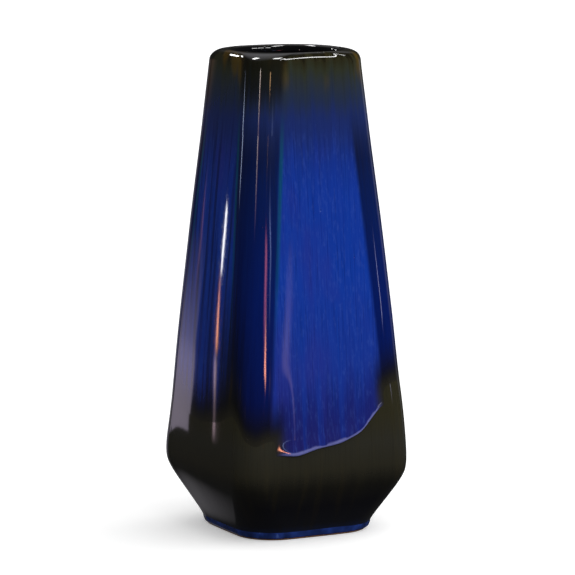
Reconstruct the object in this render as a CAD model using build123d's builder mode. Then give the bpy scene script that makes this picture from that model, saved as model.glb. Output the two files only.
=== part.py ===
from build123d import *
import os

# Stoneware vase: a tall square body with soft corners that narrows from a low shoulder to the
# rim and stands on a low square foot ring. Clay first, then the coats of glass on the clay.
# The origin is the middle of the foot's underside, +Z is up, and X and Y are square to the four
# faces. Half widths run from the axis to a flat face, and corner radii are seen in plan.

# Bare clay, outside
HEIGHT = 240.0  # over the glazed rim
FOOT_HEIGHT = 5.0
FOOT_TOP_HALF = 36.2
FOOT_BASE_HALF = 35.0
FOOT_CORNER = 18.5
SHOULDER_HEIGHT = 30.6  # where underside and wall would meet in a sharp edge
SHOULDER_HALF = 49.1
SHOULDER_ROUND = 26.0
BODY_CORNER = 15.0
WALL_TOP = 234.0  # the wall ends here and the lip rolls in
WALL_TOP_HALF = 31.5
WALL_BOW = 0.3  # how far the wall swells out of a straight taper at mid height
LIP_SWELL_HEIGHT = 238.0
LIP_SWELL_HALF = 30.5
LIP_SWELL_CORNER = 19.5
CREST_HALF = 28.2
CREST_CORNER = 26.0  # the crest is nearly round, so the lip is widest at the corners
RIM_INNER_ROUND = 1.2

# Bare clay, inside
FLOOR = 6.0
CAVITY_FLOOR_HALF = 32.6
CAVITY_FLOOR_CORNER = 14.0
CAVITY_SHOULDER_HEIGHT = 32.0
CAVITY_SHOULDER_HALF = 43.4
CAVITY_SHOULDER_CORNER = 17.0
CAVITY_RIM_HALF = 26.6
CAVITY_RIM_CORNER = 24.0

# Foot ring
FOOT_RING_WIDTH = 7.0
FOOT_RING_INNER_CORNER = 11.0
FOOT_EDGE_ROUND = 1.0

# Glaze coats
BASE_COAT = 0.5
COBALT_COAT = 0.6
LINER_TOP = 232.0  # the liner meets the outside glaze here, just inside the rim
CORE_REACH = 1.7  # the cut between liner and outside glaze runs this far inside the clay
BEAD_LOW = 0.9  # bare clay shows below the pooled bead
BEAD_HIGH = 3.6
BEAD_THICKNESS = 0.6

# Cobalt coat: its lower edge ran down in a wave, (X, Z) as seen square on to the -Y face
COBALT_TOP = 214.0
DRIP_LINE = [(-60, 50), (-45, 57), (-34, 53), (-26, 46), (-18, 44), (-7, 47), (5, 48.5)]
DRIP_LINE += [(15, 52.5), (24, 60), (32, 66), (45, 68), (60, 62)]
DRIP_ROLL_HEIGHT = 3.0  # the edge is a thicker roll of glass this tall
DRIP_ROLL_THICKNESS = 0.7

CLAY_TOP = HEIGHT - BASE_COAT
MID_HEIGHT = (SHOULDER_HEIGHT + WALL_TOP) / 2
MID_HALF = (SHOULDER_HALF + WALL_TOP_HALF) / 2 + WALL_BOW
CAVITY_FLOOR_HEIGHT = FOOT_HEIGHT + FLOOR
FOOT_RECESS_SIDE = 2 * (FOOT_BASE_HALF - FOOT_RING_WIDTH)
REACH = 120.0  # anything this wide clears the vase
CLOSE = 0.01  # heights this near each other count as the same


def soft_square(half, corner, height):
    """A square with rounded corners, lying at `height`."""
    with BuildSketch(Plane.XY.offset(height)) as outline:
        RectangleRounded(2 * half, 2 * half, corner)
    return outline.sketch


def outer_form(skin):
    """The vase's outside as one solid, `skin` outside the bare clay, from the foot to the rim."""
    foot = soft_square(FOOT_TOP_HALF + skin, FOOT_CORNER + skin, FOOT_HEIGHT)
    shoulder = soft_square(SHOULDER_HALF + skin, BODY_CORNER + skin, SHOULDER_HEIGHT)
    middle = soft_square(MID_HALF + skin, BODY_CORNER + skin, MID_HEIGHT)
    wall_top = soft_square(WALL_TOP_HALF + skin, BODY_CORNER + skin, WALL_TOP)
    swell = soft_square(LIP_SWELL_HALF + skin, LIP_SWELL_CORNER + skin, LIP_SWELL_HEIGHT + skin)
    crest = soft_square(CREST_HALF + skin, CREST_CORNER + skin, CLAY_TOP + skin)
    with BuildPart() as form:
        loft(sections=[foot, shoulder], ruled=True)
        loft(sections=[shoulder, middle, wall_top])
        loft(sections=[wall_top, swell, crest])
        shoulder_edges = form.edges().filter_by_position(
            Axis.Z, SHOULDER_HEIGHT - CLOSE, SHOULDER_HEIGHT + CLOSE
        )
        fillet(shoulder_edges, radius=SHOULDER_ROUND)
    return form.part


def foot_form(skin, low, high):
    """A slice of the foot's outside as a solid, `skin` outside the bare clay."""
    flare = (FOOT_TOP_HALF - FOOT_BASE_HALF) / FOOT_HEIGHT
    lower = soft_square(FOOT_BASE_HALF + flare * low + skin, FOOT_CORNER + skin, low)
    upper = soft_square(FOOT_BASE_HALF + flare * high + skin, FOOT_CORNER + skin, high)
    with BuildPart() as slice_of_foot:
        loft(sections=[lower, upper], ruled=True)
    return slice_of_foot.part


def cavity_form(skin):
    """The space inside the vase, made smaller by `skin` of glaze on the floor and the wall."""
    floor = soft_square(
        CAVITY_FLOOR_HALF - skin, CAVITY_FLOOR_CORNER, CAVITY_FLOOR_HEIGHT + skin
    )
    shoulder = soft_square(
        CAVITY_SHOULDER_HALF - skin, CAVITY_SHOULDER_CORNER, CAVITY_SHOULDER_HEIGHT
    )
    rim = soft_square(CAVITY_RIM_HALF - skin, CAVITY_RIM_CORNER, CLAY_TOP + skin)
    with BuildPart() as cavity:
        loft(sections=[floor, shoulder], ruled=True)
        loft(sections=[shoulder, rim], ruled=True)
    return cavity.part


def hollow_form(skin):
    """The vase as a shell with an eased inner rim, `skin` larger all over than the bare clay."""
    outside = outer_form(skin)
    inside = cavity_form(skin)
    with BuildPart() as shell:
        add(outside)
        add(inside, mode=Mode.SUBTRACT)
        mouth = shell.faces().filter_by(Plane.XY).sort_by(Axis.Z)[-1].inner_wires()[0]
        fillet(mouth.edges(), radius=RIM_INNER_ROUND + skin)
    return shell.part


bare_vase = hollow_form(0)
glazed_vase = hollow_form(BASE_COAT)
bare_foot = foot_form(0, 0, FOOT_HEIGHT)
glazed_foot = foot_form(BASE_COAT, BEAD_HIGH, FOOT_HEIGHT)

# A core that reaches half way into the clay wall, up to where the liner ends
with BuildPart() as liner_core:
    add(cavity_form(-CORE_REACH))
    with BuildSketch():
        Rectangle(REACH, REACH)
    extrude(amount=LINER_TOP, mode=Mode.INTERSECT)

# Clay wall, shoulder and floor, one shell of stoneware
with BuildPart() as clay_body:
    add(bare_vase)

# Square foot ring under the floor, with its lower outside edge eased
with BuildPart() as foot_ring:
    add(bare_foot)
    fillet(foot_ring.edges().group_by(Axis.Z)[0], radius=FOOT_EDGE_ROUND)
    with BuildSketch():
        RectangleRounded(FOOT_RECESS_SIDE, FOOT_RECESS_SIDE, FOOT_RING_INNER_CORNER)
    extrude(amount=FOOT_HEIGHT, mode=Mode.SUBTRACT)

# Dark glass lining of the inside, up to just below the rim
with BuildPart() as liner_glaze:
    add(glazed_vase)
    add(bare_vase, mode=Mode.SUBTRACT)
    add(liner_core.part, mode=Mode.INTERSECT)

# Olive-black glass over the outside, the rim and the upper side of the foot
with BuildPart() as base_glaze:
    add(glazed_vase)
    add(bare_vase, mode=Mode.SUBTRACT)
    add(liner_core.part, mode=Mode.SUBTRACT)
    add(glazed_foot)
    add(bare_foot, mode=Mode.SUBTRACT)

# Blue glass that pooled in a bead round the side of the foot
with BuildPart() as foot_glaze_bead:
    add(foot_form(BEAD_THICKNESS, BEAD_LOW, BEAD_HIGH))
    add(bare_foot, mode=Mode.SUBTRACT)

# Cobalt glass over the middle of the outside, ending below in a wavy rolled edge
cobalt_surface = outer_form(BASE_COAT + COBALT_COAT)
roll_surface = outer_form(BASE_COAT + COBALT_COAT + DRIP_ROLL_THICKNESS)
base_surface = outer_form(BASE_COAT)

with BuildPart() as drip_roll:
    with BuildSketch(Plane.XZ):
        with BuildLine():
            lower = Spline(*DRIP_LINE)
            upper = Spline(*[(x, z + DRIP_ROLL_HEIGHT) for x, z in DRIP_LINE])
            Line(lower @ 0, upper @ 0)
            Line(lower @ 1, upper @ 1)
        make_face()
    extrude(amount=REACH / 2, both=True)
    add(roll_surface, mode=Mode.INTERSECT)

with BuildPart() as cobalt_glaze:
    with BuildSketch(Plane.XZ):
        with BuildLine():
            drip = Spline(*DRIP_LINE)
            Polyline(drip @ 1, (REACH / 2, COBALT_TOP), (-REACH / 2, COBALT_TOP), drip @ 0)
        make_face()
    extrude(amount=REACH / 2, both=True)
    add(cobalt_surface, mode=Mode.INTERSECT)
    add(drip_roll.part)
    add(base_surface, mode=Mode.SUBTRACT)

clay_body.part.label = "clay_body"
foot_ring.part.label = "foot_ring"
base_glaze.part.label = "base_glaze"
cobalt_glaze.part.label = "cobalt_glaze"
liner_glaze.part.label = "liner_glaze"
foot_glaze_bead.part.label = "foot_glaze_bead"

os.makedirs("parts", exist_ok=True)
export_step(clay_body.part, "parts/clay_body.step")
export_step(foot_ring.part, "parts/foot_ring.step")
export_step(base_glaze.part, "parts/base_glaze.step")
export_step(cobalt_glaze.part, "parts/cobalt_glaze.step")
export_step(liner_glaze.part, "parts/liner_glaze.step")
export_step(foot_glaze_bead.part, "parts/foot_glaze_bead.step")
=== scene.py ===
import math

import bmesh
import bpy
from mathutils import Matrix, Vector, noise


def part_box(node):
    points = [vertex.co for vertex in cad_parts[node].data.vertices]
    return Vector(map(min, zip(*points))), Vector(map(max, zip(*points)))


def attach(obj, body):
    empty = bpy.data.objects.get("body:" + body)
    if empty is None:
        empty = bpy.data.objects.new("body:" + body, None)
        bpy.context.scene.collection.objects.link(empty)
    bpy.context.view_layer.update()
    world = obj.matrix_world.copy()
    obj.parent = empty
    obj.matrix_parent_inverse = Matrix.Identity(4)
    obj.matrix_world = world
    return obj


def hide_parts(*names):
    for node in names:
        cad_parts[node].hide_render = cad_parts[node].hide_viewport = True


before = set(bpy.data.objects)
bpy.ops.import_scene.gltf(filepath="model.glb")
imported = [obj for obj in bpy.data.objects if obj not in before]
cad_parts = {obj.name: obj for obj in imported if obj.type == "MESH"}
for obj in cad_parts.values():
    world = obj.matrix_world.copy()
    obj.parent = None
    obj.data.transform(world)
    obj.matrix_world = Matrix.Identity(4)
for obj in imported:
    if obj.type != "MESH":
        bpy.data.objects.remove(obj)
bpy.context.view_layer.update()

# ---------------------------------------------------------------------------
# The clay shell: brown stoneware cast in one piece, wall, shoulder and floor.
# Every side of it is under glaze except the underside of the floor, which was
# wiped clean so that the pot wouldn't stick to the kiln shelf.
# ---------------------------------------------------------------------------
MM = 0.001
FOOT_CORNER = 19.8 * MM
FOOT_FLARE = 0.24  # how much wider the side of the foot gets for each step up
FOOT_EASE = 0.9 * MM  # how softly the foot turns into the underside
SHOULDER_HEIGHT = 30.6 * MM  # underside and wall would meet here in a sharp edge
SHOULDER_HALF = 50.1 * MM
SHOULDER_EASE = 3.8 * MM  # how softly they meet instead
WALL_TOP = 234.0 * MM  # the wall ends here and the lip rolls in
WALL_TOP_HALF = 32.2 * MM
WALL_BOW = 0.1 * MM  # how far the wall swells out of a straight taper at mid height
FACE_SWELL = 0.6 * MM
BODY_CORNER = 13.2 * MM
LIP_INSET = 3.0 * MM
CREST_CORNER = 26.0 * MM
CREST_SWELL = 0.2 * MM
CORNER_STEPS = 24
FACE_STEPS = 40
EDGE_BAND = 4.5 * MM  # how far from a corner its colours reach on to a face
LOW_PART = 60 * MM  # the curves of foot and shoulder lie below this, so rings are closer there

foot_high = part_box("foot_ring")[1]
clay_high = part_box("clay_body")[1]
base_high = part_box("base_glaze")[1]
liner_low, liner_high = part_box("liner_glaze")
bead_low, bead_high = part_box("foot_glaze_bead")
foot_half = foot_high.x + base_high.x - clay_high.x
foot_top = foot_high.z
# A hair below the top of the CAD's lip, so that the swollen lip corners stay inside its box
rim_height = base_high.z - 0.15 * MM


def wall_half(height):
    """Half width of the glazed outside at a height, from the floor to the crest of the lip."""
    foot = foot_half + FOOT_FLARE * (height - foot_top)
    rise = (SHOULDER_HALF - foot_half) / (SHOULDER_HEIGHT - foot_top)
    underside = foot_half + rise * (height - foot_top)
    underside = (foot + underside + math.hypot(foot - underside, FOOT_EASE)) / 2
    up_wall = (height - SHOULDER_HEIGHT) / (WALL_TOP - SHOULDER_HEIGHT)
    bow = 4 * WALL_BOW * up_wall * (1 - up_wall)
    wall = SHOULDER_HALF + (WALL_TOP_HALF - SHOULDER_HALF) * up_wall + bow
    half = (underside + wall - math.hypot(underside - wall, SHOULDER_EASE)) / 2
    return half - LIP_INSET * (1 - math.cos(lip_turn(height)))


def lip_turn(height):
    """How far round the lip's outer curve a height lies: nothing on the wall, a right angle at the crest."""
    return math.asin(min(1, max(0, (height - WALL_TOP) / (rim_height - WALL_TOP))))


def wall_corner(height):
    """Corner radius in plan: soft at the foot, tighter on the body, nearly round at the crest."""
    up_underside = min(1, max(0, (height - foot_top) / (SHOULDER_HEIGHT - foot_top)))
    body = FOOT_CORNER + (BODY_CORNER - FOOT_CORNER) * up_underside
    return body + (CREST_CORNER - BODY_CORNER) * (1 - math.cos(lip_turn(height)))


def wall_swell(height):
    """How far the middle of each face stands proud of its edges: nothing at the foot."""
    up_underside = min(1, max(0, (height - foot_top) / (SHOULDER_HEIGHT - foot_top)))
    return FACE_SWELL * up_underside * math.cos(lip_turn(height)) + CREST_SWELL


# Places round the square, as (side, along, bend): the face's direction, how far along the face,
# and which way the surface looks there. A corner is the end of its face, `along` = 1.
PLACES = []
for quadrant in range(4):
    turn = Matrix.Rotation(quadrant * math.pi / 2, 2)
    for step in range(FACE_STEPS):
        PLACES.append((turn, 2 * step / FACE_STEPS - 1, Vector((1, 0))))
    for step in range(CORNER_STEPS):
        angle = step / CORNER_STEPS * math.pi / 2
        PLACES.append((turn, 1, Vector((math.cos(angle), math.sin(angle)))))


def shape_ring(mesh, ring, station, skin=None):
    """Shapes a ring into a soft square.

    A station is (half width, corner radius, height, swell of the faces), or a list with a
    height for each place, which follows the pot's outside. `skin(place, height)` is extra glaze.
    """
    flow = mesh.verts.layers.float_vector["flow"]
    edge = mesh.verts.layers.float["edge"]
    for index, (vert, (turn, along, bend)) in enumerate(zip(ring, PLACES)):
        half, corner, height, swell = wall_station(station[index]) if isinstance(station, list) else station
        core = half - swell - corner
        reach = corner + (skin(index, height) if skin else 0)
        proud = swell * (1 - along * along)
        flat = turn @ (Vector((core + proud, core * along)) + bend * reach)
        vert.co = (flat.x, flat.y, height)
        spot = turn @ (Vector((core, core * along)) + bend * (SHOULDER_HALF - core))
        vert[flow] = (spot.x, spot.y, height)
        vert[edge] = min(1, max(0, 1 - core * (1 - abs(along)) / EDGE_BAND))


def next_ring(mesh, ring):
    """Extrudes a ring of edges and gives the new ring, in the same order."""
    edges = [mesh.edges.get(pair) for pair in zip(ring, ring[1:] + ring[:1])]
    made = set(bmesh.ops.extrude_edge_only(mesh, edges=edges)["geom"])
    return [next(e.other_vert(v) for e in v.link_edges if e.other_vert(v) in made) for v in ring]


def raise_skin(stations, skin=None):
    """A smooth skin through soft squares, first to last, each ring extruded from the one before.

    The vector layer "flow" is where on the pot melted glaze comes from, so that streaks run
    straight down each face, and "edge" is 1 on the corners and 0 on the flats.
    """
    mesh = bmesh.new()
    mesh.verts.layers.float_vector.new("flow")
    mesh.verts.layers.float.new("edge")
    ring = bmesh.ops.create_circle(mesh, segments=len(PLACES), radius=SHOULDER_HALF)["verts"]
    shape_ring(mesh, ring, stations[0], skin)
    for station in stations[1:]:
        ring = next_ring(mesh, ring)
        shape_ring(mesh, ring, station, skin)
    return mesh, ring


def make_piece(name, mesh):
    """Turns a bmesh into a smooth-shaded object at the origin, with its faces outwards."""
    bmesh.ops.recalc_face_normals(mesh, faces=mesh.faces)
    data = bpy.data.meshes.new(name)
    mesh.to_mesh(data)
    mesh.free()
    data.shade_smooth()
    piece = bpy.data.objects.new(name, data)
    bpy.context.scene.collection.objects.link(piece)
    return piece


def steps(start, end, count):
    """`count` even steps from just after `start` to `end`."""
    return [start + (end - start) * (i + 1) / count for i in range(count)]


def wall_station(height, deeper=0):
    """The glazed outside at a height, or `deeper` inside it."""
    corner = wall_corner(height) - deeper
    return wall_half(height) - deeper, corner, height, wall_swell(height)


def linear(hex_colour):
    """An sRGB hex value as the linear colour that a shader socket takes."""
    channels = [int(hex_colour[i:i + 2], 16) / 255 for i in (0, 2, 4)]
    return [c / 12.92 if c <= 0.04045 else ((c + 0.055) / 1.055) ** 2.4 for c in channels] + [1]


def new_material(name):
    """An empty node material, ready for add_node."""
    material = bpy.data.materials.new(name)
    material.use_nodes = True
    material.node_tree.nodes.clear()
    return material


def add_node(material, kind, inputs=(), stops=(), **settings):
    """Adds one shader node with its settings and links.

    `inputs` pairs a socket with a constant, another node's output, or a node, for its first live
    output. `stops` are the (position, hex colour) pairs of a colour ramp.
    """
    node = material.node_tree.nodes.new("ShaderNode" + kind)
    for setting, value in settings.items():
        setattr(node, setting, value)
    for socket, value in dict(inputs).items():
        if isinstance(value, bpy.types.Node):
            value = next(output for output in value.outputs if output.enabled)
        if isinstance(value, bpy.types.NodeSocket):
            material.node_tree.links.new(value, node.inputs[socket])
        else:
            node.inputs[socket].default_value = value
    if stops:
        elements = node.color_ramp.elements
        elements[0].position, elements[-1].position = stops[0][0], stops[-1][0]
        for position, hex_colour in stops[1:-1]:
            elements.new(position)
        for element, (position, hex_colour) in zip(elements, stops):
            element.color = linear(hex_colour)
    return node


def paint(piece, material):
    """Gives a piece its one material."""
    piece.data.materials.clear()
    piece.data.materials.append(material)


# Brown stoneware, fired and bare: matt, with iron specks about 0.6 mm across and a sandy tooth
stoneware = new_material("bare_fired_stoneware")
place = add_node(stoneware, "TexCoord").outputs["Object"]
specks = add_node(stoneware, "TexNoise", {"Vector": place, "Scale": 1 / (0.6 * MM), "Detail": 3.0})
tooth = add_node(stoneware, "TexNoise", {"Vector": place, "Scale": 1 / (0.25 * MM), "Detail": 2.0})
clay_stops = [(0.35, "4A2E1C"), (0.62, "9A6A44")]
clay_colour = add_node(stoneware, "ValToRGB", {"Fac": specks}, clay_stops)
clay_bump = add_node(stoneware, "Bump", {"Height": tooth, "Distance": 0.08 * MM, "Strength": 0.6})
clay_surface = {"Base Color": clay_colour, "Roughness": 0.82, "IOR": 1.5, "Normal": clay_bump}
clay_shader = add_node(stoneware, "BsdfPrincipled", clay_surface)
add_node(stoneware, "OutputMaterial", {"Surface": clay_shader})

COAT_DEPTH = 0.35 * MM
FLOOR_TOP = foot_top + 6.0 * MM
CAVITY_SHOULDER = 32.0 * MM
CAVITY_FLOOR_HALF = 32.6 * MM
CAVITY_SHOULDER_HALF = 43.4 * MM
CAVITY_TOP_HALF = 26.6 * MM
CAVITY_EASE = 3.0 * MM
CAVITY_LOW_CORNER = 14 * MM
CAVITY_TOP_CORNER = 24 * MM
CAVITY_LOW_PART = 45 * MM
SHELL_TOP = WALL_TOP - 1 * MM


def cavity_station(height, lining=0):
    """The hollow inside the pot at a height, less the `lining` glaze on its wall."""
    up_low = (height - FLOOR_TOP) / (CAVITY_SHOULDER - FLOOR_TOP)
    up_wall = (height - CAVITY_SHOULDER) / (WALL_TOP - CAVITY_SHOULDER)
    low = CAVITY_FLOOR_HALF + (CAVITY_SHOULDER_HALF - CAVITY_FLOOR_HALF) * up_low
    wall = CAVITY_SHOULDER_HALF + (CAVITY_TOP_HALF - CAVITY_SHOULDER_HALF) * up_wall
    half = (low + wall - math.hypot(low - wall, CAVITY_EASE)) / 2
    corner = CAVITY_LOW_CORNER + (CAVITY_TOP_CORNER - CAVITY_LOW_CORNER) * max(0, min(1, up_wall))
    return half - lining, corner, height, CREST_SWELL


clay_outside = [wall_station(z, COAT_DEPTH) for z in [foot_top] + steps(foot_top, LOW_PART, 24)]
clay_outside += [wall_station(z, COAT_DEPTH) for z in steps(LOW_PART, SHELL_TOP, 12)]
clay_inside = [cavity_station(z) for z in steps(SHELL_TOP, CAVITY_LOW_PART, 12)]
clay_inside += [cavity_station(z) for z in steps(CAVITY_LOW_PART, FLOOR_TOP, 12)]
mesh, ring = raise_skin(clay_outside + clay_inside)
bmesh.ops.holes_fill(mesh, edges=[edge for edge in mesh.edges if edge.is_boundary], sides=0)
clay_shell = make_piece("stoneware_shell", mesh)
paint(clay_shell, stoneware)
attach(clay_shell, "root")
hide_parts("clay_body")

# ---------------------------------------------------------------------------
# The foot: a low wall of the same brown stoneware under the floor, 7 mm wide,
# with its edges rubbed round. Its underside is bare, and the pot stands on it.
# ---------------------------------------------------------------------------
FOOT_WIDTH = 7.0 * MM
FOOT_ROUND = 0.9 * MM
FOOT_BARE = 0.45 * MM


def foot_station(height, inset=0):
    """The bare side of the foot at a height, or `inset` from it."""
    half = foot_half + FOOT_FLARE * (height - foot_top) - FOOT_BARE
    return half - inset, FOOT_CORNER - inset, height, CREST_SWELL


foot_stations = [foot_station(z) for z in [foot_top] + steps(foot_top, FOOT_ROUND, 5)]
for turn in steps(0, math.pi / 2, 6):
    inset = FOOT_ROUND * (1 - math.cos(turn))
    foot_stations.append(foot_station(FOOT_ROUND * (1 - math.sin(turn)), inset))
for turn in [0] + steps(0, math.pi / 2, 6):
    inset = FOOT_WIDTH - FOOT_ROUND * (1 - math.sin(turn))
    foot_stations.append(foot_station(FOOT_ROUND * (1 - math.cos(turn)), inset))
foot_stations.append(foot_station(foot_top, FOOT_WIDTH))
foot = make_piece("stoneware_foot", raise_skin(foot_stations)[0])
paint(foot, stoneware)
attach(foot, "root")
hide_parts("foot_ring")

# ---------------------------------------------------------------------------
# The base glaze: a thin coat of olive-black iron glass over the whole outside,
# over the lip and a little way down inside. The pot was dipped in it, so it
# covers everything from the side of the foot up.
# ---------------------------------------------------------------------------
MOUTH_HALF = 26.1 * MM
MOUTH_CORNER = 23.5 * MM
MOUTH_DEPTH = 1.3  # the inside of the lip is this much deeper than it is wide
MOUTH_OVERLAP = 0.5 * MM  # the outside glaze and the liner overlap this far inside the mouth
GLAZE_WANDER = 0.05 * MM
WANDER_LENGTH = 28 * MM
WANDER_DRAWN = 0.7  # the unevenness is this much slower down the pot than round it
COAT_THICKNESS = 0.28 * MM
BASE_START = bead_high.z - 0.8 * MM
FOOT_TURN = 12 * MM
HALF_FACE = 0.32  # half of a flat face, and the corners share out the rest of each quarter turn
FULL_WIDTH = 0.13  # how far round the pot a full corner reaches
# Painted shade: inside the mouth the base glaze is painted near black, deepening over these rings below the
# crest
MOUTH_SHADE_RINGS = 6  # the crest darkens inwards over this many rings
# Corners that came out fuller than the rest, as (corner, height, reach up and down, fullness in mm):
# corners are counted from +X, so 1.5 is between +Y and -X, and 3.5 between -Y and +X
FULL_CORNERS = [(3.5, 240, 3.5, 2.0), (3.5, 62, 20, 0.6), (1.5, 34, 17, 1.3)]


def place_number(index):
    """Where a place is round the pot: a whole number at the middle of a face, a half at a corner."""
    turn, along, bend = PLACES[index]
    around = HALF_FACE * along
    if along == 1:
        around += (1 - 2 * HALF_FACE) * math.atan2(bend.y, bend.x) / (math.pi / 2)
    return (index // (FACE_STEPS + CORNER_STEPS) + around) % 4


def wander(index, height):
    """The slight unevenness of a coat that ran while it melted, and of the clay under it."""
    turn, along, bend = PLACES[index]
    spot = turn @ (Vector((1, along)) + bend) * SHOULDER_HALF / 2
    proud = GLAZE_WANDER * noise.noise(Vector((spot.x, spot.y, height * WANDER_DRAWN)) / WANDER_LENGTH)
    for place, level, reach, full in FULL_CORNERS:
        off_place = (place_number(index) - place) / FULL_WIDTH
        off_level = (height - level * MM) / (reach * MM)
        proud += full * MM * math.exp(-off_place * off_place - off_level * off_level)
    return proud


base_outside = [wall_station(z) for z in [BASE_START] + steps(BASE_START, FOOT_TURN, 14)]
base_outside += [wall_station(z) for z in steps(FOOT_TURN, LOW_PART, 48)]
base_outside += [wall_station(z) for z in steps(LOW_PART, WALL_TOP, 60)]
for turn in steps(0, math.pi / 2, 14):
    base_outside.append(wall_station(WALL_TOP + (rim_height - WALL_TOP) * math.sin(turn)))
crest_half = wall_half(rim_height)
inner_round = crest_half - MOUTH_HALF
for turn in steps(0, math.pi / 2, 10):
    half = crest_half - inner_round * math.sin(turn)
    corner = CREST_CORNER + (MOUTH_CORNER - CREST_CORNER) * math.sin(turn)
    height = rim_height - MOUTH_DEPTH * inner_round * (1 - math.cos(turn))
    base_outside.append((half, corner, height, CREST_SWELL))
for height in steps(rim_height - MOUTH_DEPTH * inner_round, liner_high.z - MOUTH_OVERLAP, 5):
    base_outside.append((MOUTH_HALF, MOUTH_CORNER, height, CREST_SWELL))
mesh, ring = raise_skin(base_outside, wander)
# The share of painted shade inside the mouth, rising over the rings below the crest
inside = mesh.verts.layers.float.new("inside")
crest_ring = base_outside.index(wall_station(rim_height))
for index, vert in enumerate(mesh.verts):
    vert[inside] = min(1, max(0, (index // len(PLACES) - crest_ring) / MOUTH_SHADE_RINGS))
base_coat = make_piece("olive_black_base_glaze", mesh)
thickness = base_coat.modifiers.new("coat thickness", "SOLIDIFY")
thickness.thickness = COAT_THICKNESS
thickness.offset = -1
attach(base_coat, "root")
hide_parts("base_glaze")

HAIR_WIDTH = 0.65 * MM
GRAIN_WIDTH = 1.1 * MM
STREAK_WIDTH = 3.6 * MM
CLOUD_WIDTH = 20 * MM
RIPPLE_WIDTH = 11 * MM
RIPPLE_LENGTH = 60 * MM
PINHOLE_SPACING = 24 * MM
PINHOLE_FLOOR = 0.012  # a pinhole's wall rises between these distances from its middle,
PINHOLE_RIM = 0.030  # as shares of the spacing
# Colours up the pot, as (share of the height, colour)
FACE_BLUES = [
    (0.20, "21226A"), (0.27, "1B267A"), (0.36, "1A389C"), (0.55, "133CA8"), (0.72, "1439A2"),
    (0.84, "1B3080"),
]
CORNER_NAVIES = [(0.25, "020F48"), (0.50, "02165C"), (0.72, "081A4C"), (0.92, "16170F")]
# Olive colours of the rim. The last two, darkest at the crest where the lip turns into the mouth, are
# painted shade
RIM_OLIVES_AND_SHADE = [
    (0.865, "20306A"), (0.905, "273350"), (0.935, "2E3640"), (0.965, "33372A"), (0.985, "2E2C1A"),
    (0.998, "1C190F"),
]
# Olive colours up the low part of the pot. The darkest stops, from 0.03 to 0.11 of the height, are painted
# shade on the underside below the shoulder
LOW_OLIVES_AND_SHADE = [
    (0.012, "131A30"), (0.03, "121319"), (0.07, "0E0E13"), (0.11, "191814"), (0.15, "2C2A21"),
    (0.20, "2F2E27"), (0.26, "302E20"),
]
# Where the nearly black band beside the front corner lies, in plan: a painted dark reflection, with golden
# brown threads in it
DARK_BAND_PLACE = (-47 * MM, -30 * MM, 0)


def streaks(material, width, length, detail=2.0, shift=0.0):
    """A pattern drawn out down the pot: `width` across a streak and `length` down it."""
    flow = add_node(material, "Attribute", attribute_name="flow").outputs["Vector"]
    drawn_out = {"Vector": flow, "Location": (shift, 0, 0), "Scale": (1 / width, 1 / width, 1 / length)}
    drawn = add_node(material, "Mapping", drawn_out)
    return add_node(material, "TexNoise", {"Vector": drawn, "Scale": 1.0, "Detail": detail})


def height_in(material, ragged=0.5, reach=0.0):
    """Height on the pot, from 0 at the table to 1 at the rim, made ragged by a pattern's streaks."""
    place = add_node(material, "TexCoord").outputs["Object"]
    height = add_node(material, "SeparateXYZ", {0: place}).outputs["Z"]
    moved = add_node(material, "Math", {0: ragged, 1: reach, 2: height}, operation="MULTIPLY_ADD")
    whole = {"Value": moved, "From Min": reach / 2, "From Max": rim_height + reach / 2}
    return add_node(material, "MapRange", whole)


def lay_over(material, under, upper, most, *limits):
    """Lays one colour over another, in the share `most` wherever every limit lets it.

    A limit is (pattern, start, end): it lets nothing through at `start` and everything at `end`.
    """
    share = most
    for pattern, start, end in limits:
        reached = {"Value": pattern, "From Min": start, "From Max": end, "To Max": share}
        share = add_node(material, "MapRange", reached, interpolation_type="SMOOTHSTEP")
    if isinstance(upper, str):
        upper = linear(upper)
    return add_node(material, "Mix", {0: share, 6: under, 7: upper}, data_type="RGBA")


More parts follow.
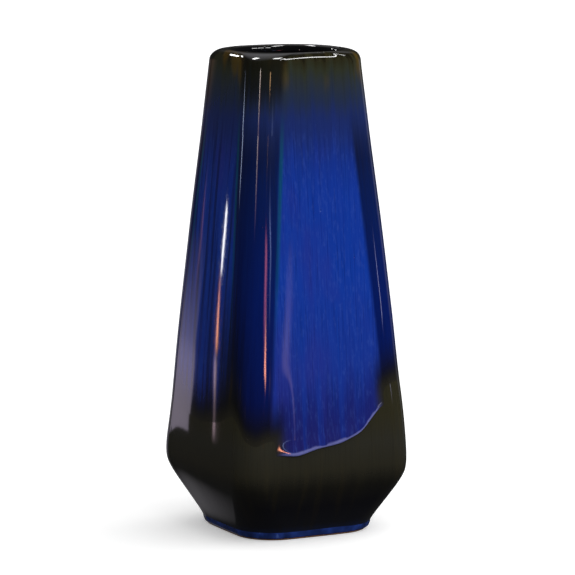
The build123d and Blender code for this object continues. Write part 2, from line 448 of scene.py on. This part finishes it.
def cobalt_colours(material):
    """The melt of cobalt over iron: blue on the faces, navy at the corners, olive on the rim."""
    hair = streaks(material, HAIR_WIDTH, 30 * MM, detail=4.0)
    grain = streaks(material, GRAIN_WIDTH, 4 * MM, detail=3.0, shift=6.0)
    streak = streaks(material, STREAK_WIDTH, 110 * MM, shift=3.0)
    cloud = streaks(material, CLOUD_WIDTH, 50 * MM, shift=8.0)
    edge = add_node(material, "Attribute", attribute_name="edge").outputs["Fac"]
    flow = add_node(material, "Attribute", attribute_name="flow").outputs["Vector"]
    across = add_node(material, "SeparateXYZ", {0: flow}).outputs["X"]
    iron_side = (across, 10 * MM, -10 * MM)
    # Down the faces: strong blue above, violet blue towards the drips, with hairs, grain and clouds
    blue_height = height_in(material, streak, 30 * MM)
    colour = add_node(material, "ValToRGB", {"Fac": blue_height}, FACE_BLUES)
    colour = lay_over(material, colour, "3558BC", 0.15, (hair, 0.50, 0.72))
    colour = lay_over(material, colour, "0C2478", 0.25, (hair, 0.50, 0.28))
    colour = lay_over(material, colour, "4A68C0", 0.16, (grain, 0.48, 0.75))
    colour = lay_over(material, colour, "2C3090", 0.42, (cloud, 0.50, 0.72))
    colour = lay_over(material, colour, "0640B0", 0.22, (streak, 0.50, 0.72))
    # Dark veins down the -X face
    colour = lay_over(material, colour, "081030", 0.6, (streak, 0.53, 0.38), (across, -38 * MM, -49 * MM))
    # Navy where the melt ran off the corners, with a teal line where it is thinnest
    ragged_edge = add_node(material, "Math", {0: streak, 1: 0.5, 2: edge}, operation="MULTIPLY_ADD")
    off_corner = (ragged_edge, 0.55, 1.15)
    corner_height = height_in(material, streak, 60 * MM)
    corner_colour = add_node(material, "ValToRGB", {"Fac": corner_height}, CORNER_NAVIES)
    colour = lay_over(material, colour, corner_colour, 0.92, off_corner)
    high = (height_in(material, streak, 40 * MM), 0.35, 0.75)
    thin_line = ((edge, 0.10, 0.45), (edge, 0.85, 0.5))
    colour = lay_over(material, colour, "0A5468", 0.7, *thin_line, high, iron_side)
    # A nearly black band beside the front corner, painted as a dark reflection, with golden brown threads
    # low down
    level = add_node(material, "VectorMath", {0: flow, 1: (1, 1, 0)}, operation="MULTIPLY")
    off_dark_band = add_node(material, "VectorMath", {0: level, 1: DARK_BAND_PLACE}, operation="DISTANCE")
    run = ((off_dark_band, 17 * MM, 7 * MM), (corner_height, 0.64, 0.28))
    low = (height_in(material, streak, 40 * MM), 0.38, 0.24)
    colour = lay_over(material, colour, "080D1A", 0.85, *run)
    colour = lay_over(material, colour, "4A3C14", 0.8, (hair, 0.50, 0.62), low, *run)
    # The rim: the cobalt thins out to olive, with amber where the iron shows through, and the iron
    # on the corners stays dark right up to the lip
    lip_height = height_in(material, streak, 16 * MM)
    # At the crest these rim colours darken into painted shade from the mouth
    rim = add_node(material, "ValToRGB", {"Fac": lip_height}, RIM_OLIVES_AND_SHADE)
    colour = lay_over(material, colour, rim, 1.0, (lip_height, 0.77, 0.90))
    colour = lay_over(material, colour, "6A5010", 0.45, (cloud, 0.56, 0.68), (lip_height, 0.92, 0.97))
    colour = lay_over(material, colour, "100F0B", 0.75, off_corner, iron_side, (lip_height, 0.86, 0.94))
    return lay_over(material, colour, "0A0C14", 0.2, (hair, 0.50, 0.28))


def glassy(material, colour, ripple_height, roughness):
    """A fired glaze's surface: glass, with slow ripples and a pinhole 1 mm across every 24 mm or so."""
    ripple = streaks(material, RIPPLE_WIDTH, RIPPLE_LENGTH, detail=1.0, shift=5.0)
    flow = add_node(material, "Attribute", attribute_name="flow").outputs["Vector"]
    pits = add_node(material, "TexVoronoi", {"Vector": flow, "Scale": 1 / PINHOLE_SPACING})
    pit_wall = {"Value": pits, "From Min": PINHOLE_FLOOR, "From Max": PINHOLE_RIM}
    pit = add_node(material, "MapRange", pit_wall, interpolation_type="SMOOTHSTEP")
    ripples = add_node(material, "Bump", {"Height": ripple, "Distance": ripple_height, "Strength": 1.0})
    dented = {"Height": pit, "Distance": 0.15 * MM, "Strength": 1.0, "Normal": ripples}
    pinholes = add_node(material, "Bump", dented)
    surface = {"Base Color": colour, "Roughness": roughness, "IOR": 1.52, "Normal": pinholes}
    shader = add_node(material, "BsdfPrincipled", surface)
    add_node(material, "OutputMaterial", {"Surface": shader})


# Olive-black iron glaze, dipped and fired: deep, glassy, brownest where it is thin
olive_glaze = new_material("olive_black_iron_glaze")
olive_streak = streaks(olive_glaze, STREAK_WIDTH, 40 * MM, shift=3.0)
olive_hair = streaks(olive_glaze, HAIR_WIDTH, 30 * MM)
olive_height = height_in(olive_glaze, olive_streak, 5 * MM)
# Low down the olive carries painted shade, darkest on the underside below the shoulder
olive = add_node(olive_glaze, "ValToRGB", {"Fac": olive_height}, LOW_OLIVES_AND_SHADE)
olive = lay_over(olive_glaze, olive, "3A3013", 0.08, (olive_streak, 0.50, 0.68))
olive = lay_over(olive_glaze, olive, "14130E", 0.18, (olive_hair, 0.50, 0.30))
cobalt_above = (height_in(olive_glaze), 0.42, 0.52)
outside = lay_over(olive_glaze, olive, cobalt_colours(olive_glaze), 1.0, cobalt_above)
# Painted shade: the glaze inside the mouth, below the crest, is painted near black
inward = add_node(olive_glaze, "Attribute", attribute_name="inside").outputs["Fac"]
glassy(olive_glaze, lay_over(olive_glaze, outside, "0B0B0D", inward), 0.02 * MM, 0.04)
paint(base_coat, olive_glaze)

# ---------------------------------------------------------------------------
# The cobalt glaze: a second, thicker coat poured over the base glaze. It ran in
# the kiln, so it is thin near the rim and ends low down, in a wavy roll on the
# front face and feathered out on the others.
# ---------------------------------------------------------------------------
# Where the drips stopped, as (place, height in mm). A whole place is the middle of a face,
# counted +X, +Y, -X, -Y, and a half is the corner after it
DRIPS = [
    (0.0, 58), (0.5, 52), (1.0, 46), (1.5, 55), (2.0, 48.8), (2.2, 51), (2.32, 57), (2.4, 54),
    (2.48, 45), (2.58, 42), (2.68, 44.5), (2.76, 45.2), (2.83, 44), (2.93, 47), (3.05, 48.6),
    (3.12, 51.4), (3.17, 53.5), (3.22, 59.5), (3.29, 65.5), (3.39, 68.3), (3.5, 69), (3.7, 65), (4.0, 58),
]
COBALT_THICKNESS = 0.55 * MM
ROLL_THICKNESS = 1.35 * MM
ROLL_ROUND = 1.0 * MM  # the roll is full this far above its edge
ROLL_REACH = 7.5 * MM  # and settles to the coat's own thickness over this much more
FEATHER_REACH = 45 * MM
EDGE_SUNK = 0.05 * MM  # the coat starts this far inside the base glaze, so that no gap shows
FADE_SUNK = 0.06 * MM
COBALT_FADE = 70 * MM
COBALT_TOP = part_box("cobalt_glaze")[1].z
COAT_SKIN = 0.15 * MM
# The roll runs round the pot from FRONT_REACH before this place to as far after it
FRONT_PLACE = 3.015
FRONT_REACH = 0.30
FRONT_EASE = 0.10
# How far above the edge each of the first rings lies, in mm, closest where the roll turns under
EDGE_RUNS = [0.0, 0.02, 0.06, 0.15, 0.3, 0.5, 0.75, 1.0, 1.4, 2.0, 2.7, 3.5, 4.4, 5.4, 6.5, 7.7, 9.0]


def drip_height(index):
    """Height at which the cobalt coat stops at a place round the pot."""
    place = place_number(index)
    for (start, low), (end, high) in zip(DRIPS, DRIPS[1:]):
        if start <= place <= end:
            return (low + (high - low) * (place - start) / (end - start)) * MM


drips = [drip_height(index) for index in range(len(PLACES))]
for smoothing in range(3):
    drips = [(drips[i - 1] + 2 * drips[i] + drips[(i + 1) % len(drips)]) / 4 for i in range(len(drips))]


def ease(value):
    """A smooth step from 0 to 1."""
    value = min(1, max(0, value))
    return value * value * (3 - 2 * value)


def front_share(index):
    """1 over most of the -Y face, easing to 0 before its corners."""
    return ease((FRONT_REACH - abs(place_number(index) - FRONT_PLACE)) / FRONT_EASE)


def coat(index, height):
    """How far the coat stands proud of the base glaze: a roll on the front face, feathered out elsewhere."""
    up = height - drips[index]
    swell = math.sqrt(max(0, 1 - (1 - min(1, up / ROLL_ROUND)) ** 2))
    settle = ease((up - ROLL_ROUND) / ROLL_REACH)
    rolled = swell * (ROLL_THICKNESS + (COBALT_THICKNESS - ROLL_THICKNESS) * settle)
    if height == drips[index]:
        rolled -= EDGE_SUNK
    feathered = (COBALT_THICKNESS + EDGE_SUNK) * ease(up / FEATHER_REACH) - EDGE_SUNK
    proud = feathered + (rolled - feathered) * front_share(index)
    here = ease((COBALT_TOP - height) / COBALT_FADE)
    return proud * here - FADE_SUNK * (1 - here) + wander(index, height)


def coat_heights(run, share):
    """Heights of one ring of the coat: `run` up from the edge, then a `share` of the way to the top."""
    starts = [low + run for low in drips]
    return [low + (COBALT_TOP - low) * share for low in starts]


coat_rings = [coat_heights(run * MM, 0) for run in EDGE_RUNS]
coat_rings += [coat_heights(EDGE_RUNS[-1] * MM, share) for share in steps(0, 1, 60)]
mesh, ring = raise_skin([coat_rings[0]], coat)
run_layer = mesh.verts.layers.float.new("run up")
front_layer = mesh.verts.layers.float.new("front")
ring = mesh.verts[:]
for heights in coat_rings:
    if heights is not coat_rings[0]:
        ring = next_ring(mesh, ring)
        shape_ring(mesh, ring, heights, coat)
    for index, vert in enumerate(ring):
        vert[run_layer] = heights[index] - drips[index]
        vert[front_layer] = front_share(index)
cobalt_coat = make_piece("cobalt_over_glaze", mesh)
thickness = cobalt_coat.modifiers.new("coat thickness", "SOLIDIFY")
thickness.thickness = COAT_SKIN
thickness.offset = -1
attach(cobalt_coat, "root")
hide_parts("cobalt_glaze")

# Cobalt glaze, poured and fired: bright streaky blue glass over the dark coat
cobalt_glaze = new_material("poured_cobalt_glaze")
cobalt = cobalt_colours(cobalt_glaze)
run_up = add_node(cobalt_glaze, "Attribute", attribute_name="run up").outputs["Fac"]
on_front = add_node(cobalt_glaze, "Attribute", attribute_name="front").outputs["Fac"]
# Away from the front the coat pools dark towards its edge, and turns olive as it feathers out
pool = lay_over(cobalt_glaze, linear("2A281F"), "12110D", 1.0, (run_up, 6 * MM, 17 * MM))
off_front = (on_front, 1.0, 0.0)
cobalt = lay_over(cobalt_glaze, cobalt, pool, 0.98, (run_up, 32 * MM, 9 * MM), off_front)
# A pale lavender line along the front drips, where the roll is thickest: a painted highlight
highlight_noise = streaks(cobalt_glaze, 7 * MM, 7 * MM, shift=4.0)
highlight_top = add_node(cobalt_glaze, "Math", {0: highlight_noise, 1: 4.4 * MM}, operation="MULTIPLY")
highlight_middle = add_node(cobalt_glaze, "Math", {0: highlight_noise, 1: 2.4 * MM}, operation="MULTIPLY")
highlight_limits = ((run_up, highlight_top, highlight_middle), (run_up, 0.15 * MM, 0.45 * MM), (on_front, 0.0, 1.0))
cobalt = lay_over(cobalt_glaze, cobalt, "7478B8", 0.85, *highlight_limits)
glassy(cobalt_glaze, cobalt, 0.02 * MM, 0.04)
paint(cobalt_coat, cobalt_glaze)

# ---------------------------------------------------------------------------
# The liner: a dark glaze swilled round the inside and poured out, so that the
# pot holds water. It covers the inside from the floor to just under the lip.
# ---------------------------------------------------------------------------
LINING = 0.5 * MM
LINER_ROUND = 5.0 * MM
LINER_TUCK = 0.05 * MM  # the liner's top goes this far behind the outside glaze
LINER_NECK = 3 * MM
LINER_FLOOR = 24 * MM
LEAST_FLAT = 0.5 * MM
liner_floor = liner_low.z + LINING
mouth_height = liner_high.z
low_wall = liner_floor + LINER_ROUND
liner_stations = [(MOUTH_HALF + LINER_TUCK, MOUTH_CORNER, mouth_height, CREST_SWELL)]
liner_stations += [cavity_station(z, LINING) for z in steps(mouth_height - LINER_NECK, CAVITY_LOW_PART, 30)]
liner_stations += [cavity_station(z, LINING) for z in steps(CAVITY_LOW_PART, low_wall, 14)]
floor_half, floor_corner = liner_stations[-1][:2]
for turn in steps(0, math.pi / 2, 8):
    inset = LINER_ROUND * (1 - math.cos(turn))
    height = liner_floor + LINER_ROUND * (1 - math.sin(turn))
    liner_stations.append((floor_half - inset, floor_corner - inset, height, CREST_SWELL))
for inset in steps(0, LINER_FLOOR, 6):
    inner = floor_half - LINER_ROUND - inset
    liner_stations.append((inner, min(inner - LEAST_FLAT, floor_corner - LINER_ROUND), liner_floor, 0))
mesh, ring = raise_skin(liner_stations)
bmesh.ops.holes_fill(mesh, edges=[e for e in mesh.edges if e.is_boundary and e.verts[0] in ring], sides=0)
liner = make_piece("dark_liner_glaze", mesh)
liner.data.flip_normals()
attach(liner, "root")
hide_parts("liner_glaze")

# Liner glaze, poured inside: brown-black glass with thin blue-grey clouds
liner_glaze = new_material("brown_black_liner_glaze")
liner_cloud = streaks(liner_glaze, 9 * MM, 26 * MM, shift=2.0)
liner_stops = [(0.34, "0B0A0A"), (0.52, "14110E"), (0.68, "1A2230")]
liner_colour = add_node(liner_glaze, "ValToRGB", {"Fac": liner_cloud}, liner_stops)
glassy(liner_glaze, liner_colour, 0.03 * MM, 0.06)
paint(liner, liner_glaze)

# ---------------------------------------------------------------------------
# The bead: where the glazes ran down and pooled on the side of the foot, thick
# and blue, stopping just above the bare clay of its lower edge.
# ---------------------------------------------------------------------------
BEAD_THICKNESS = 0.35 * MM
BEAD_LOW = bead_low.z - 0.15 * MM
BEAD_HIGH = bead_high.z + 0.9 * MM
BEAD_SAG = 0.75  # the bead is fullest a little below its middle
BEAD_TUCK = 0.2  # share of its height over which it tucks in, at the top and at the bottom
BEAD_SUNK = 0.08 * MM
BEAD_SKIN = 0.2 * MM
bead_stations = []
for share in [0] + steps(0, 1, 14):
    height = BEAD_LOW + (BEAD_HIGH - BEAD_LOW) * share
    half, corner, height, swell = wall_station(height)
    proud = BEAD_THICKNESS * math.sin(math.pi * share ** BEAD_SAG)
    proud -= FOOT_BARE * (1 - ease(share / BEAD_TUCK)) + BEAD_SUNK * ease(1 - (1 - share) / BEAD_TUCK)
    bead_stations.append((half + proud, corner + proud, height, swell))
bead = make_piece("pooled_glaze_bead", raise_skin(bead_stations)[0])
thickness = bead.modifiers.new("coat thickness", "SOLIDIFY")
thickness.thickness = BEAD_SKIN
thickness.offset = -1
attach(bead, "root")
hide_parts("foot_glaze_bead")

# Pooled glaze, run and fired: thick dark blue glass, mottled every 6 mm or so, its palest mottles painted
# highlights
pooled_glaze = new_material("pooled_blue_glaze")
pool = streaks(pooled_glaze, 6 * MM, 6 * MM, shift=1.0)
pool_and_highlight_stops = [(0.25, "101A40"), (0.50, "1A2E68"), (0.68, "243C84"), (0.80, "5068A8")]
pool_colour = add_node(pooled_glaze, "ValToRGB", {"Fac": pool}, pool_and_highlight_stops)
glassy(pooled_glaze, pool_colour, 0.08 * MM, 0.07)
paint(bead, pooled_glaze)

# ---------------------------------------------------------------------------
# The studio: a white table under a wide white tent, darker on the left and
# below, with strip lights and dim panels for the glaze to mirror.
# ---------------------------------------------------------------------------
mesh = bmesh.new()
bmesh.ops.create_grid(mesh, x_segments=1, y_segments=1, size=10.0)
floor = make_piece("white_table", mesh)
floor.visible_glossy = False
floor.visible_diffuse = False
white_table = new_material("matt_white_table")
table_surface = {"Base Color": linear("FDFDFD"), "Roughness": 1.0, "Specular IOR Level": 0.0}
table_glow = {"Emission Color": linear("FFFFFF"), "Emission Strength": 0.26}
table_shader = add_node(white_table, "BsdfPrincipled", {**table_surface, **table_glow})
add_node(white_table, "OutputMaterial", {"Surface": table_shader})
paint(floor, white_table)

TENT_SIDE = math.radians(55)  # the tent is brightest towards this side
SIDE_SHARE = 0.82
TENT_BELOW = 0.11
TENT_ABOVE = 1.03
TENT_IN_GLOSS = 0.03  # the glaze mirrors the panels below rather than the tent
tent = bpy.data.worlds.new("white_tent")
bpy.context.scene.world = tent
tent.use_nodes = True
tent.node_tree.nodes.clear()
looking = add_node(tent, "TexCoord").outputs["Generated"]
bright_way = (math.sin(TENT_SIDE), -math.cos(TENT_SIDE), 0)
side = add_node(tent, "VectorMath", {0: looking, 1: bright_way}, operation="DOT_PRODUCT")
upness = add_node(tent, "SeparateXYZ", {0: looking}).outputs["Z"]
horizon = {"Value": upness, "From Min": -0.15, "From Max": 0.15, "To Min": TENT_BELOW, "To Max": TENT_ABOVE}
level = add_node(tent, "MapRange", horizon, interpolation_type="SMOOTHSTEP")
sideways = add_node(tent, "Math", {0: side, 1: SIDE_SHARE, 2: 1.0}, operation="MULTIPLY_ADD")
tent_light = add_node(tent, "Math", {0: level, 1: sideways}, operation="MULTIPLY")
lit = add_node(tent, "Background", {"Color": linear("FFFFFF"), "Strength": tent_light})
mirrored = add_node(tent, "Background", {"Color": linear("FFFFFF"), "Strength": TENT_IN_GLOSS})
seen = add_node(tent, "Background", {"Color": linear("FFFFFF"), "Strength": 1.0})
rays = add_node(tent, "LightPath")
for ray, background in (("Is Glossy Ray", mirrored), ("Is Camera Ray", seen)):
    lit = add_node(tent, "MixShader", {0: rays.outputs[ray], 1: lit, 2: background})
add_node(tent, "OutputWorld", {"Surface": lit})

# Panel of light: even, or fading towards its edges, in the panel's own colour
PANEL_DISTANCE = 12.0
AIM = Vector((0, 0, rim_height / 2))
even_panel = new_material("even_light_panel")
soft_panel = new_material("soft_edged_light_panel")
fading_panel = new_material("fading_light_panel")
# Each as (material, how wide its soft sides are, how long its soft ends are, ends that fade)
PANEL_EDGES = [(even_panel, 0.04, 0.04, 2), (soft_panel, 0.45, 0.45, 2), (fading_panel, 0.04, 0.9, 1)]
for material, border, fade, soft_ends in PANEL_EDGES:
    own = add_node(material, "ObjectInfo")
    across = add_node(material, "SeparateXYZ", {0: add_node(material, "TexCoord").outputs["UV"]})
    strength = own.outputs["Alpha"]
    for way, turn_back, band in (("X", 0.5, border), ("Y", 1 / soft_ends, fade)):
        inset = add_node(material, "Math", {0: across.outputs[way], 1: turn_back}, operation="PINGPONG")
        rising = {"Value": inset, "From Min": 0.0, "From Max": band, "To Max": strength}
        strength = add_node(material, "MapRange", rising, interpolation_type="SMOOTHSTEP")
    glowing = add_node(material, "Emission", {"Color": own.outputs["Color"], "Strength": strength})
    clear = add_node(material, "BsdfTransparent")
    both = add_node(material, "AddShader", {0: glowing, 1: clear})
    add_node(material, "OutputMaterial", {"Surface": both})


def towards(azimuth, elevation):
    """Unit vector for a direction in degrees: azimuth 0 is -Y and 90 is +X."""
    turn, rise = math.radians(azimuth), math.radians(elevation)
    return Vector((math.sin(turn) * math.cos(rise), -math.cos(turn) * math.cos(rise), math.sin(rise)))


def panel(name, start, end, width, strength, hex_colour, material=soft_panel):
    """A light panel from one direction to another, `width` degrees wide, seen only in the gloss."""
    first = AIM + towards(*start) * PANEL_DISTANCE
    last = AIM + towards(*end) * PANEL_DISTANCE
    middle = (first + last) / 2
    inward = (AIM - middle).normalized()
    long_way = (last - first).normalized()
    wide_way = inward.cross(long_way).normalized()
    square = Matrix((wide_way, long_way, inward)).transposed().to_4x4()
    size = Matrix.Diagonal((PANEL_DISTANCE * math.radians(width), (last - first).length, 1, 1))
    mesh = bmesh.new()
    mesh.loops.layers.uv.new("UVMap")
    bmesh.ops.create_grid(mesh, x_segments=1, y_segments=1, size=0.5, calc_uvs=True)
    bmesh.ops.transform(mesh, matrix=Matrix.Translation(middle) @ square @ size, verts=mesh.verts)
    data = bpy.data.meshes.new(name)
    mesh.to_mesh(data)
    mesh.free()
    light = bpy.data.objects.new(name, data)
    bpy.context.scene.collection.objects.link(light)
    light.color = linear(hex_colour)[:3] + [strength]
    light.visible_camera = False
    light.visible_diffuse = False
    light.visible_shadow = False
    paint(light, material)


panel("window_gap", (-149.3, -1.1), (-150.3, -3.1), 0.36, 14, "FFFFFF", even_panel)
panel("lamp_orange", (-150.6, -2.9), (-150.4, -5.3), 0.5, 12, "FFA868")
panel("lamp_pale", (-150.6, -4.6), (-150.6, -7.4), 0.8, 3.4, "E8C8D8")
panel("purple_line", (-158.0, -0.8), (-157.0, -4.4), 0.5, 1.4, "C890D0")
panel("table_behind", (-158.2, -2.6), (-158.2, -7.3), 5.2, 1.2, "E6D8F4", fading_panel)
panel("wall_behind", (-172.0, 4.0), (-172.0, -22.0), 18, 0.42, "D8D0E8")
panel("shelf_behind", (-166.0, 4.0), (-166.0, -2.4), 14, 0.3, "D8A890")
panel("corner_thin_line", (-136, 2.6), (-145, -0.4), 1.1, 8, "C8D8FF")
panel("corner_rose_line", (-58, 11.4), (-56, 7.2), 6, 2.4, "F0B8B0")
panel("corner_spark", (-59, 11.0), (-57, 10.2), 5, 22, "FFF0E8")
panel("corner_spark_low", (-17, 9.1), (-12, 8.7), 0.7, 14, "FFC890")
panel("lamp_rose", (-15, 6.6), (3, 2.2), 2.6, 9, "D87080")
panel("lamp_coral", (-2, 3.2), (12.9, -1.4), 2.6, 26, "FFA078")
panel("blue_line", (-3, 7.6), (20, 0.6), 1.5, 5, "A8C0FF")
panel("face_haze", (21.8, 3.0), (21.8, -3.6), 1.2, 1.6, "E8C8D0")
panel("front_window", (20, 42), (50, 37), 4, 24, "FFFFFF", even_panel)
panel("side_line", (56, 2.6), (46, -1.2), 1.4, 9, "D0D0F8")
panel("right_edge", (108, 12), (108, -10), 22, 0.45, "D8D8F0")
panel("lip_left", (-157, 21), (-161, 25), 5, 24, "FFFFFF", even_panel)
panel("overhead_left", (-138, 56), (-165, 64), 8, 24, "FFFFFF", even_panel)
panel("overhead_front", (23, 84), (29, 62), 7, 24, "FFFFFF", even_panel)
panel("ceiling", (150, 20), (-60, 70), 70, 0.9, "E8E8F0")
panel("left_low", (-181, -15), (-181, -45), 26, 0.36, "D8D4DC")
panel("edge_behind", (-188, 4), (-188, -16), 26, 0.4, "D8D4E8")

# ---------------------------------------------------------------------------
# The camera, a long lens from a little above, turned towards the front corner.
# ---------------------------------------------------------------------------
VIEW_AZIMUTH = -26.53
VIEW_ELEVATION = 8.13
VIEW_DISTANCE = 1.784
VIEW_ROLL = -0.0037
camera_data = bpy.data.cameras.new("camera")
camera_data.sensor_width = 36.0
camera_data.lens = 223.7
camera_data.shift_x = 0.0034
camera_data.shift_y = 0.0014
camera_data.clip_start = 0.05
camera = bpy.data.objects.new("camera", camera_data)
bpy.context.scene.collection.objects.link(camera)
bpy.context.scene.camera = camera
away = towards(VIEW_AZIMUTH, VIEW_ELEVATION)
camera.location = AIM + away * VIEW_DISTANCE
look = away.to_track_quat("Z", "Y").to_matrix() @ Matrix.Rotation(VIEW_ROLL, 3, "Z")
camera.rotation_euler = look.to_euler()
bpy.context.scene.view_settings.view_transform = "Standard"
